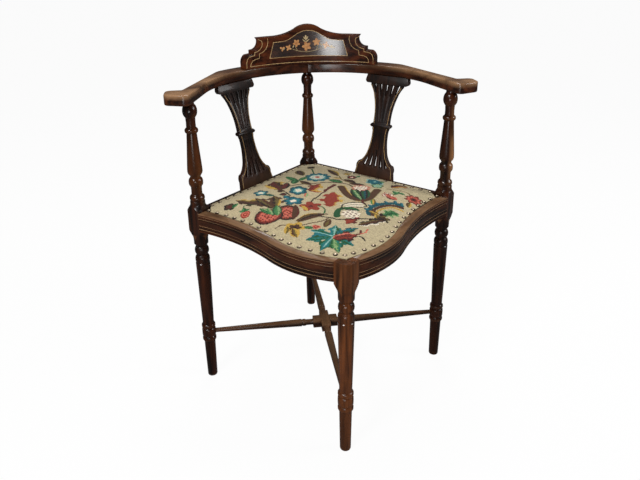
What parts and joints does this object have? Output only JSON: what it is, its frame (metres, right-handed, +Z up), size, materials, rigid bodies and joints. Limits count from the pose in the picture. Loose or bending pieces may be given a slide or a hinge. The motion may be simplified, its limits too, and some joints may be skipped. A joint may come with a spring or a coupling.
{
  "type": "corner chair",
  "caption": "Corner chair with turned posts, a curved arm bow with a shaped crest, pierced splats, crossed stretchers and a needlework seat.",
  "frame": {"origin": "on the floor, in the middle of the chair's outline", "axes": "+Z up, the single front leg towards -Y, the back post and the crest towards +Y"},
  "size_m": [0.642, 0.5904, 0.7865],
  "materials": {
    "mahogany": "polished",
    "beech": "raw",
    "steel_screw": "satin",
    "webbing": "woven",
    "canvas": "woven",
    "stuffing": "matte",
    "needlepoint": "needlework"
  },
  "bodies": {
    "root": {"front_leg": "mahogany", "left_post": "mahogany", "right_post": "mahogany", "back_post": "mahogany", "front_left_rail": "mahogany", "front_right_rail": "mahogany", "back_left_rail": "mahogany", "back_right_rail": "mahogany", "left_arm": "mahogany", "right_arm": "mahogany", "crest_rail": "mahogany", "left_splat": "mahogany", "right_splat": "mahogany", "side_stretcher": "mahogany", "front_back_stretcher": "mahogany", "left_corner_brace": "beech", "right_corner_brace": "beech", "front_corner_brace": "beech", "back_corner_brace": "beech", "arm_joint_dowels": "beech", "corner_brace_screws": "steel_screw", "crest_rail_screws": "steel_screw", "lower_left_web": "webbing", "lower_middle_web": "webbing", "lower_right_web": "webbing", "upper_left_web": "webbing", "upper_middle_web": "webbing", "upper_right_web": "webbing", "seat_canvas": "canvas", "seat_stuffing": "stuffing", "needlepoint_cover": "needlepoint"}
  },
  "joints": []
}
